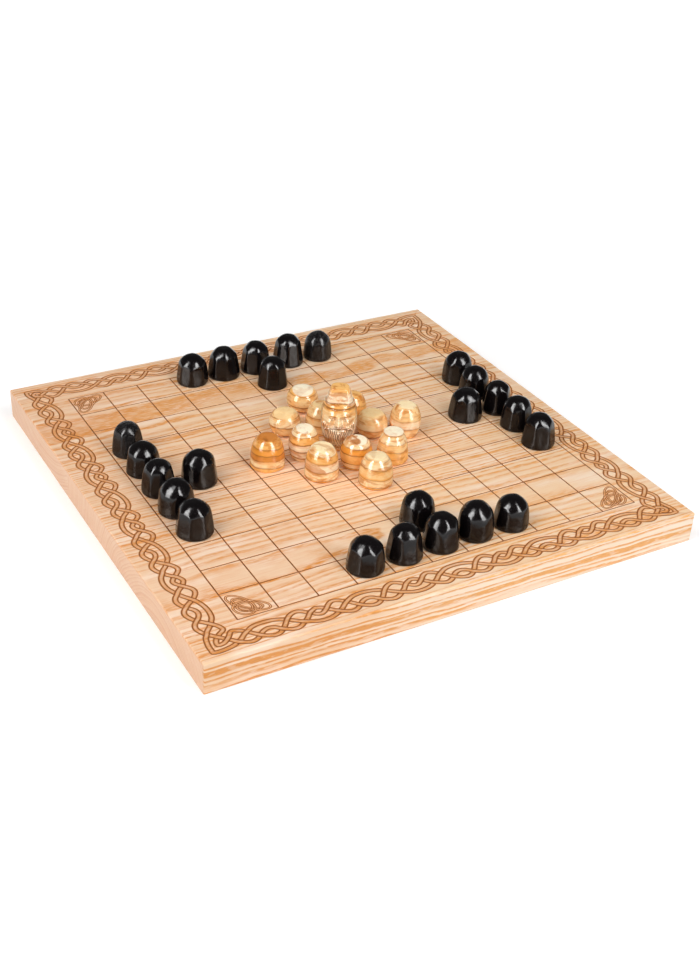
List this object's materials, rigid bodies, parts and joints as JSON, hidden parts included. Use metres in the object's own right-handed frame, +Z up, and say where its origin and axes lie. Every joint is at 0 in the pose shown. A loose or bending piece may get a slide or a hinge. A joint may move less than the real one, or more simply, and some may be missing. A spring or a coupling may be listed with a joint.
{
  "type": "hnefatafl board game set",
  "caption": "Solid wood tafl board with an engraved square grid and knotwork border, set with whittled black attackers, pale defenders and a carved king in a cap.",
  "frame": {"origin": "middle of the underside of the board, on the surface that it lies on", "axes": "+Z up; +X along the grain of the board, towards the right-hand edge; +Y away from the edge nearest the viewer"},
  "size_m": [0.4012, 0.398, 0.0793],
  "materials": {
    "ash_board": "clear-varnished ash, satin",
    "black_lacquer": "wood stained black under a thick gloss lacquer",
    "varnished_wood": "pale layered wood under a gloss varnish"
  },
  "bodies": {
    "board": {"board": "ash_board"},
    "king": {"king": "varnished_wood"},
    "defender_01": {"defender_01": "varnished_wood"},
    "defender_02": {"defender_02": "varnished_wood"},
    "defender_03": {"defender_03": "varnished_wood"},
    "defender_04": {"defender_04": "varnished_wood"},
    "defender_05": {"defender_05": "varnished_wood"},
    "defender_06": {"defender_06": "varnished_wood"},
    "defender_07": {"defender_07": "varnished_wood"},
    "defender_08": {"defender_08": "varnished_wood"},
    "defender_09": {"defender_09": "varnished_wood"},
    "defender_10": {"defender_10": "varnished_wood"},
    "defender_11": {"defender_11": "varnished_wood"},
    "defender_12": {"defender_12": "varnished_wood"},
    "attacker_01": {"attacker_01": "black_lacquer"},
    "attacker_02": {"attacker_02": "black_lacquer"},
    "attacker_03": {"attacker_03": "black_lacquer"},
    "attacker_04": {"attacker_04": "black_lacquer"},
    "attacker_05": {"attacker_05": "black_lacquer"},
    "attacker_06": {"attacker_06": "black_lacquer"},
    "attacker_07": {"attacker_07": "black_lacquer"},
    "attacker_08": {"attacker_08": "black_lacquer"},
    "attacker_09": {"attacker_09": "black_lacquer"},
    "attacker_10": {"attacker_10": "black_lacquer"},
    "attacker_11": {"attacker_11": "black_lacquer"},
    "attacker_12": {"attacker_12": "black_lacquer"},
    "attacker_13": {"attacker_13": "black_lacquer"},
    "attacker_14": {"attacker_14": "black_lacquer"},
    "attacker_15": {"attacker_15": "black_lacquer"},
    "attacker_16": {"attacker_16": "black_lacquer"},
    "attacker_17": {"attacker_17": "black_lacquer"},
    "attacker_18": {"attacker_18": "black_lacquer"},
    "attacker_19": {"attacker_19": "black_lacquer"},
    "attacker_20": {"attacker_20": "black_lacquer"},
    "attacker_21": {"attacker_21": "black_lacquer"},
    "attacker_22": {"attacker_22": "black_lacquer"},
    "attacker_23": {"attacker_23": "black_lacquer"},
    "attacker_24": {"attacker_24": "black_lacquer"}
  },
  "joints": [
    {"name": "king_lift", "type": "slide", "parent": "board", "child": "king", "axis": [0, 0, 1], "range_m": [0, 0.06]},
    {"name": "defender_01_lift", "type": "slide", "parent": "board", "child": "defender_01", "axis": [0, 0, 1], "range_m": [0, 0.06]},
    {"name": "defender_02_lift", "type": "slide", "parent": "board", "child": "defender_02", "axis": [0, 0, 1], "range_m": [0, 0.06]},
    {"name": "defender_03_lift", "type": "slide", "parent": "board", "child": "defender_03", "axis": [0, 0, 1], "range_m": [0, 0.06]},
    {"name": "defender_04_lift", "type": "slide", "parent": "board", "child": "defender_04", "axis": [0, 0, 1], "range_m": [0, 0.06]},
    {"name": "defender_05_lift", "type": "slide", "parent": "board", "child": "defender_05", "axis": [0, 0, 1], "range_m": [0, 0.06]},
    {"name": "defender_06_lift", "type": "slide", "parent": "board", "child": "defender_06", "axis": [0, 0, 1], "range_m": [0, 0.06]},
    {"name": "defender_07_lift", "type": "slide", "parent": "board", "child": "defender_07", "axis": [0, 0, 1], "range_m": [0, 0.06]},
    {"name": "defender_08_lift", "type": "slide", "parent": "board", "child": "defender_08", "axis": [0, 0, 1], "range_m": [0, 0.06]},
    {"name": "defender_09_lift", "type": "slide", "parent": "board", "child": "defender_09", "axis": [0, 0, 1], "range_m": [0, 0.06]},
    {"name": "defender_10_lift", "type": "slide", "parent": "board", "child": "defender_10", "axis": [0, 0, 1], "range_m": [0, 0.06]},
    {"name": "defender_11_lift", "type": "slide", "parent": "board", "child": "defender_11", "axis": [0, 0, 1], "range_m": [0, 0.06]},
    {"name": "defender_12_lift", "type": "slide", "parent": "board", "child": "defender_12", "axis": [0, 0, 1], "range_m": [0, 0.06]},
    {"name": "attacker_01_lift", "type": "slide", "parent": "board", "child": "attacker_01", "axis": [0, 0, 1], "range_m": [0, 0.06]},
    {"name": "attacker_02_lift", "type": "slide", "parent": "board", "child": "attacker_02", "axis": [0, 0, 1], "range_m": [0, 0.06]},
    {"name": "attacker_03_lift", "type": "slide", "parent": "board", "child": "attacker_03", "axis": [0, 0, 1], "range_m": [0, 0.06]},
    {"name": "attacker_04_lift", "type": "slide", "parent": "board", "child": "attacker_04", "axis": [0, 0, 1], "range_m": [0, 0.06]},
    {"name": "attacker_05_lift", "type": "slide", "parent": "board", "child": "attacker_05", "axis": [0, 0, 1], "range_m": [0, 0.06]},
    {"name": "attacker_06_lift", "type": "slide", "parent": "board", "child": "attacker_06", "axis": [0, 0, 1], "range_m": [0, 0.06]},
    {"name": "attacker_07_lift", "type": "slide", "parent": "board", "child": "attacker_07", "axis": [0, 0, 1], "range_m": [0, 0.06]},
    {"name": "attacker_08_lift", "type": "slide", "parent": "board", "child": "attacker_08", "axis": [0, 0, 1], "range_m": [0, 0.06]},
    {"name": "attacker_09_lift", "type": "slide", "parent": "board", "child": "attacker_09", "axis": [0, 0, 1], "range_m": [0, 0.06]},
    {"name": "attacker_10_lift", "type": "slide", "parent": "board", "child": "attacker_10", "axis": [0, 0, 1], "range_m": [0, 0.06]},
    {"name": "attacker_11_lift", "type": "slide", "parent": "board", "child": "attacker_11", "axis": [0, 0, 1], "range_m": [0, 0.06]},
    {"name": "attacker_12_lift", "type": "slide", "parent": "board", "child": "attacker_12", "axis": [0, 0, 1], "range_m": [0, 0.06]},
    {"name": "attacker_13_lift", "type": "slide", "parent": "board", "child": "attacker_13", "axis": [0, 0, 1], "range_m": [0, 0.06]},
    {"name": "attacker_14_lift", "type": "slide", "parent": "board", "child": "attacker_14", "axis": [0, 0, 1], "range_m": [0, 0.06]},
    {"name": "attacker_15_lift", "type": "slide", "parent": "board", "child": "attacker_15", "axis": [0, 0, 1], "range_m": [0, 0.06]},
    {"name": "attacker_16_lift", "type": "slide", "parent": "board", "child": "attacker_16", "axis": [0, 0, 1], "range_m": [0, 0.06]},
    {"name": "attacker_17_lift", "type": "slide", "parent": "board", "child": "attacker_17", "axis": [0, 0, 1], "range_m": [0, 0.06]},
    {"name": "attacker_18_lift", "type": "slide", "parent": "board", "child": "attacker_18", "axis": [0, 0, 1], "range_m": [0, 0.06]},
    {"name": "attacker_19_lift", "type": "slide", "parent": "board", "child": "attacker_19", "axis": [0, 0, 1], "range_m": [0, 0.06]},
    {"name": "attacker_20_lift", "type": "slide", "parent": "board", "child": "attacker_20", "axis": [0, 0, 1], "range_m": [0, 0.06]},
    {"name": "attacker_21_lift", "type": "slide", "parent": "board", "child": "attacker_21", "axis": [0, 0, 1], "range_m": [0, 0.06]},
    {"name": "attacker_22_lift", "type": "slide", "parent": "board", "child": "attacker_22", "axis": [0, 0, 1], "range_m": [0, 0.06]},
    {"name": "attacker_23_lift", "type": "slide", "parent": "board", "child": "attacker_23", "axis": [0, 0, 1], "range_m": [0, 0.06]},
    {"name": "attacker_24_lift", "type": "slide", "parent": "board", "child": "attacker_24", "axis": [0, 0, 1], "range_m": [0, 0.06]}
  ]
}
